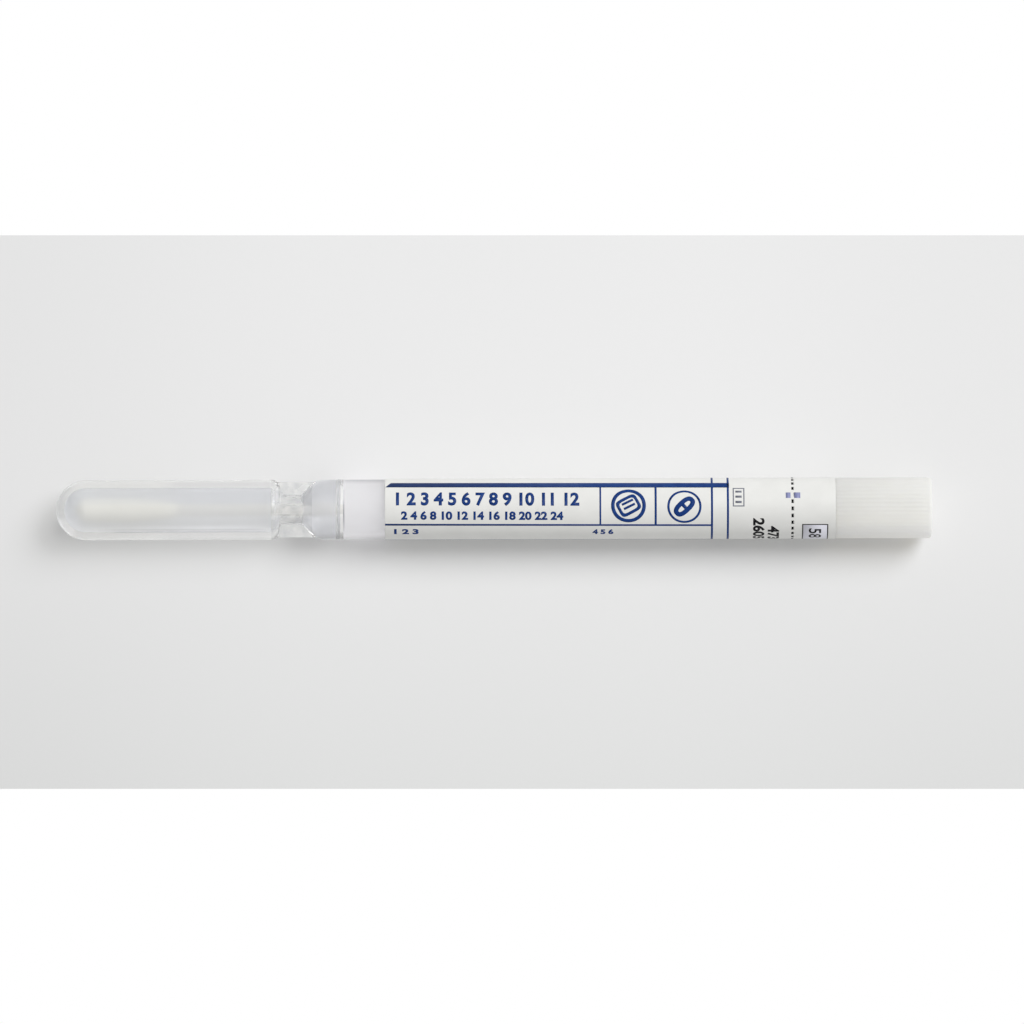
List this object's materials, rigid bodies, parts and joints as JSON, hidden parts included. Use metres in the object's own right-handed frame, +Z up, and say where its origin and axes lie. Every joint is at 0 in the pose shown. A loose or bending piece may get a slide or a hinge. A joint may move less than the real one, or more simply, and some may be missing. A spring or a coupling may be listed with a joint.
{
  "type": "specimen swab tube",
  "caption": "Clear round-ended tube with transport gel and a wrapped paper label, closed by a ribbed push-in cap whose thin rod carries a fibre bud.",
  "frame": {"origin": "under the middle of the whole object, on the surface that it lies on", "axes": "+X along the tube from the round end to the cap, +Z up, the label's open edge underneath"},
  "size_m": [0.175, 0.0122, 0.0123],
  "materials": {
    "tube_plastic": "gloss",
    "gel": "gloss",
    "label_paper": "satin",
    "cap_plastic": "satin",
    "shaft_plastic": "satin",
    "bud_fibre": "matte"
  },
  "bodies": {
    "tube_body": {"tube": "tube_plastic", "gel": "gel", "label": "label_paper"},
    "cap_and_swab": {"cap": "cap_plastic", "seal_strip": "label_paper", "swab_shaft": "shaft_plastic", "swab_bud": "bud_fibre"}
  },
  "joints": [
    {"name": "cap_pull", "type": "slide", "parent": "tube_body", "child": "cap_and_swab", "axis": [1, 0, 0], "range_m": [0, 0.15], "deforming": ["gel"]}
  ]
}
